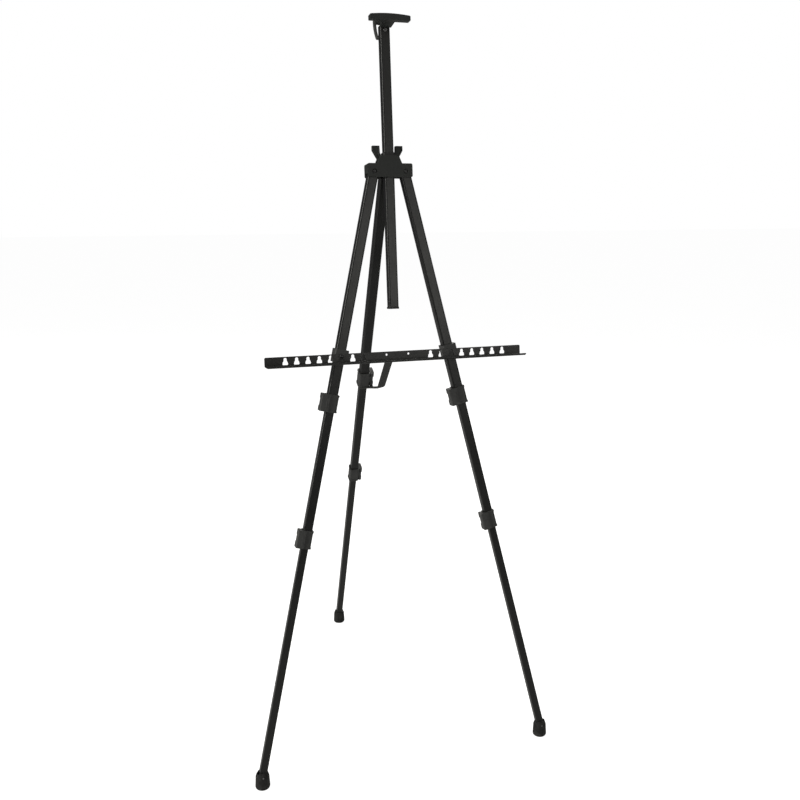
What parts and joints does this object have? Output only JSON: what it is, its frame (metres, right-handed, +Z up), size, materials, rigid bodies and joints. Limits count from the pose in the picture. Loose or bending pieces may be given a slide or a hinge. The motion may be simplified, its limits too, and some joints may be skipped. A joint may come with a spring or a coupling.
{
  "type": "folding tripod easel",
  "caption": "Black folding floor easel with telescoping square-tube legs, flip locks, a sliding mast with a top clamp, and a slotted sheet-metal ledge.",
  "frame": {"origin": "on the floor, at the centre of the footprint of the three feet", "axes": "+Z up, -Y towards the side the artwork faces, +X to the right as seen from the front"},
  "size_m": [0.6192, 0.685, 1.4698],
  "materials": {
    "tube_paint": "satin black",
    "ledge_paint": "satin black",
    "head_plastic": "fine matt grain",
    "lock_plastic": "fine matt grain",
    "lever_plastic": "fine matt grain",
    "nylon": "smooth matt",
    "steel": "dull zinc",
    "rubber": "matt"
  },
  "bodies": {
    "head": {"head_front_shell": "head_plastic", "head_rear_shell": "head_plastic", "front_leg_rivets": "steel", "rear_leg_rivet": "steel", "mast_liner": "nylon", "release_springs": "steel"},
    "left_release_arm": {"left_release_arm": "head_plastic"},
    "right_release_arm": {"right_release_arm": "head_plastic"},
    "mast": {"mast_tube": "tube_paint", "mast_end_plug": "nylon", "mast_cap": "head_plastic", "mast_cap_rivet": "steel", "clamp_pin": "steel"},
    "clamp_bar": {"clamp_bar": "head_plastic"},
    "clamp_lever": {"clamp_lever": "lever_plastic"},
    "left_upper_leg": {"left_upper_tube": "tube_paint", "left_upper_collar": "lock_plastic", "left_upper_lever_pin": "steel", "left_ledge_bracket": "lock_plastic", "left_ledge_stud": "steel"},
    "left_middle_leg": {"left_middle_tube": "tube_paint", "left_middle_glide": "nylon", "left_lower_collar": "lock_plastic", "left_lower_lever_pin": "steel"},
    "left_lower_leg": {"left_lower_tube": "tube_paint", "left_lower_glide": "nylon", "left_foot_pin": "steel"},
    "left_upper_lever": {"left_upper_lever": "lever_plastic"},
    "left_lower_lever": {"left_lower_lever": "lever_plastic"},
    "left_foot": {"left_foot": "rubber"},
    "right_upper_leg": {"right_upper_tube": "tube_paint", "right_upper_collar": "lock_plastic", "right_upper_lever_pin": "steel", "right_ledge_bracket": "lock_plastic", "right_ledge_stud": "steel"},
    "right_middle_leg": {"right_middle_tube": "tube_paint", "right_middle_glide": "nylon", "right_lower_collar": "lock_plastic", "right_lower_lever_pin": "steel"},
    "right_lower_leg": {"right_lower_tube": "tube_paint", "right_lower_glide": "nylon", "right_foot_pin": "steel"},
    "right_upper_lever": {"right_upper_lever": "lever_plastic"},
    "right_lower_lever": {"right_lower_lever": "lever_plastic"},
    "right_foot": {"right_foot": "rubber"},
    "rear_upper_leg": {"rear_upper_tube": "tube_paint", "rear_upper_collar": "lock_plastic", "rear_upper_lever_pin": "steel", "accessory_hook": "lock_plastic"},
    "rear_middle_leg": {"rear_middle_tube": "tube_paint", "rear_middle_glide": "nylon", "rear_lower_collar": "lock_plastic", "rear_lower_lever_pin": "steel"},
    "rear_lower_leg": {"rear_lower_tube": "tube_paint", "rear_lower_glide": "nylon", "rear_foot_pin": "steel"},
    "rear_upper_lever": {"rear_upper_lever": "lever_plastic"},
    "rear_lower_lever": {"rear_lower_lever": "lever_plastic"},
    "rear_foot": {"rear_foot": "rubber"},
    "ledge": {"ledge": "ledge_paint"}
  },
  "joints": [
    {"name": "left_release_press", "type": "hinge", "parent": "head", "child": "left_release_arm", "pos_m": [-0.0155, -0.21472, 1.20243], "axis": [0, 0.9954, -0.0958], "range_deg": [0, 6], "stiffness_Nm_per_rad": 0.4},
    {"name": "right_release_press", "type": "hinge", "parent": "head", "child": "right_release_arm", "pos_m": [0.0155, -0.21472, 1.20243], "axis": [0, -0.9954, 0.0958], "range_deg": [0, 6], "stiffness_Nm_per_rad": 0.4},
    {"name": "mast_slide", "type": "slide", "parent": "head", "child": "mast", "axis": [0, 0.0958, 0.9954], "range_m": [-0.195, 0.2]},
    {"name": "clamp_bar_tilt", "type": "hinge", "parent": "mast", "child": "clamp_bar", "pos_m": [0, -0.1897, 1.46223], "axis": [-1, 0, 0], "range_deg": [-6, 60]},
    {"name": "clamp_lever_turn", "type": "hinge", "parent": "mast", "child": "clamp_lever", "pos_m": [-0.016, -0.1897, 1.46223], "axis": [1, 0, 0], "range_deg": [0, 100]},
    {"name": "left_leg_fold", "type": "hinge", "parent": "head", "child": "left_upper_leg", "pos_m": [-0.031, -0.21663, 1.18253], "axis": [0, -0.9954, 0.0958], "range_deg": [0, 10.9]},
    {"name": "right_leg_fold", "type": "hinge", "parent": "head", "child": "right_upper_leg", "pos_m": [0.031, -0.21663, 1.18253], "axis": [0, 0.9954, -0.0958], "range_deg": [0, 10.9]},
    {"name": "rear_leg_fold", "type": "hinge", "parent": "head", "child": "rear_upper_leg", "pos_m": [0, -0.18578, 1.17956], "axis": [-1, 0, 0], "range_deg": [0, 28]},
    {"name": "left_middle_slide", "type": "slide", "parent": "left_upper_leg", "child": "left_middle_leg", "axis": [-0.2215, -0.0935, -0.9707], "range_m": [-0.23, 0.13]},
    {"name": "left_lower_slide", "type": "slide", "parent": "left_middle_leg", "child": "left_lower_leg", "axis": [-0.2215, -0.0935, -0.9707], "range_m": [-0.37, 0.005]},
    {"name": "left_upper_lever_turn", "type": "hinge", "parent": "left_upper_leg", "child": "left_upper_lever", "pos_m": [-0.14802, -0.25259, 0.74652], "axis": [-0.2215, -0.0935, -0.9707], "range_deg": [0, 100]},
    {"name": "left_lower_lever_turn", "type": "hinge", "parent": "left_middle_leg", "child": "left_lower_lever", "pos_m": [-0.20516, -0.27838, 0.48594], "axis": [-0.2215, -0.0935, -0.9707], "range_deg": [0, 100]},
    {"name": "left_foot_swivel", "type": "hinge", "parent": "left_lower_leg", "child": "left_foot", "pos_m": [-0.29509, -0.32804, 0.0255], "axis": [0, 0.9954, -0.0958], "range_deg": [-2.5, 12.8]},
    {"name": "right_middle_slide", "type": "slide", "parent": "right_upper_leg", "child": "right_middle_leg", "axis": [0.2215, -0.0935, -0.9707], "range_m": [-0.23, 0.13]},
    {"name": "right_lower_slide", "type": "slide", "parent": "right_middle_leg", "child": "right_lower_leg", "axis": [0.2215, -0.0935, -0.9707], "range_m": [-0.37, 0.005]},
    {"name": "right_upper_lever_turn", "type": "hinge", "parent": "right_upper_leg", "child": "right_upper_lever", "pos_m": [0.11448, -0.25332, 0.73893], "axis": [0.2215, -0.0935, -0.9707], "range_deg": [0, 100]},
    {"name": "right_lower_lever_turn", "type": "hinge", "parent": "right_middle_leg", "child": "right_lower_lever", "pos_m": [0.1761, -0.27902, 0.47937], "axis": [0.2215, -0.0935, -0.9707], "range_deg": [0, 100]},
    {"name": "right_foot_swivel", "type": "hinge", "parent": "right_lower_leg", "child": "right_foot", "pos_m": [0.29509, -0.32804, 0.0255], "axis": [0, -0.9954, 0.0958], "range_deg": [-2.5, 12.8]},
    {"name": "rear_middle_slide", "type": "slide", "parent": "rear_upper_leg", "child": "rear_middle_leg", "axis": [0, 0.4067, -0.9135], "range_m": [-0.23, 0.13]},
    {"name": "rear_lower_slide", "type": "slide", "parent": "rear_middle_leg", "child": "rear_lower_leg", "axis": [0, 0.4067, -0.9135], "range_m": [-0.37, 0.005]},
    {"name": "rear_upper_lever_turn", "type": "hinge", "parent": "rear_upper_leg", "child": "rear_upper_lever", "pos_m": [0.0172, 0.00642, 0.73313], "axis": [0, 0.4067, -0.9135], "range_deg": [0, 85]},
    {"name": "rear_lower_lever_turn", "type": "hinge", "parent": "rear_middle_leg", "child": "rear_lower_lever", "pos_m": [0.0149, 0.12094, 0.47762], "axis": [0, 0.4067, -0.9135], "range_deg": [0, 100]},
    {"name": "rear_foot_swivel", "type": "hinge", "parent": "rear_lower_leg", "child": "rear_foot", "pos_m": [0, 0.32804, 0.0255], "axis": [1, 0, 0], "range_deg": [-2.5, 24]},
    {"name": "ledge_swing", "type": "hinge", "parent": "left_upper_leg", "child": "ledge", "pos_m": [-0.11068, -0.25025, 0.83344], "axis": [0, -0.9954, 0.0958], "range_deg": [0, 78]}
  ],
  "couplings": [
    {"joint": "right_leg_fold", "follows": "left_leg_fold", "ratio": 1},
    {"joint": "ledge_swing", "follows": "left_leg_fold", "ratio": 7.0826}
  ]
}
